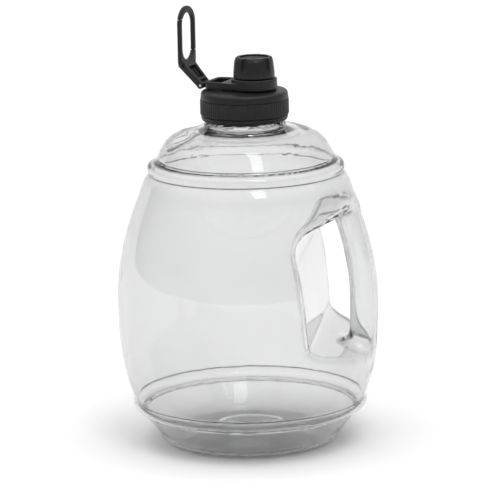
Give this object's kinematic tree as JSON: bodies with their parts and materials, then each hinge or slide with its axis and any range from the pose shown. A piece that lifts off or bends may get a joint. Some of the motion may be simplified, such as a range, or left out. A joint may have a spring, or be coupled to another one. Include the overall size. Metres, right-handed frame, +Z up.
{
  "type": "large water jug",
  "caption": "Large clear barrel-shaped water jug with a moulded through handle, black screw lid, fluted spout cap and hinged carry loop.",
  "frame": {"origin": "centre of the jug's footprint on the floor", "axes": "+Z up along the barrel's axis, +X towards the moulded handle, the carry loop's hinge lies 162 degrees round from +X"},
  "size_m": [0.1785, 0.1788, 0.2974],
  "materials": {
    "clear": "clear gloss copolyester",
    "black": "fine satin moulding",
    "deep_black": "matt moulding",
    "seal": "soft silicone",
    "steel": "plain pin"
  },
  "bodies": {
    "jug": {"bottle": "clear"},
    "gasket": {"lid_gasket": "seal"},
    "lid": {"lid_body": "black", "lid_sleeve": "black", "retainer_arm": "black", "hinge_pin": "steel"},
    "seal": {"cap_seal": "seal"},
    "cap": {"cap_core": "deep_black", "cap_shell": "black", "cap_disc": "deep_black"},
    "loop": {"carry_link": "black", "loop_bow": "black"}
  },
  "joints": [
    {"name": "lid_lift", "type": "slide", "parent": "jug", "child": "gasket", "axis": [0, 0, 1], "range_m": [0, 0.0099]},
    {"name": "lid_turn", "type": "hinge", "parent": "gasket", "child": "lid", "pos_m": [0, 0, 0.235], "axis": [0, 0, 1], "range_deg": [0, 792]},
    {"name": "cap_lift", "type": "slide", "parent": "lid", "child": "seal", "axis": [0, 0, 1], "range_m": [0, 0.0055]},
    {"name": "cap_turn", "type": "hinge", "parent": "seal", "child": "cap", "pos_m": [0.00713, -0.00232, 0.258], "axis": [0, 0, 1], "range_deg": [0, 660]},
    {"name": "loop_swing", "type": "hinge", "parent": "lid", "child": "loop", "pos_m": [-0.02863, 0.0093, 0.2443], "axis": [-0.309, -0.9511, 0], "range_deg": [-60, 105]}
  ],
  "couplings": [
    {"joint": "lid_lift", "follows": "lid_turn", "m_per_rad": 0.0007162},
    {"joint": "cap_lift", "follows": "cap_turn", "m_per_rad": 0.00047746}
  ]
}
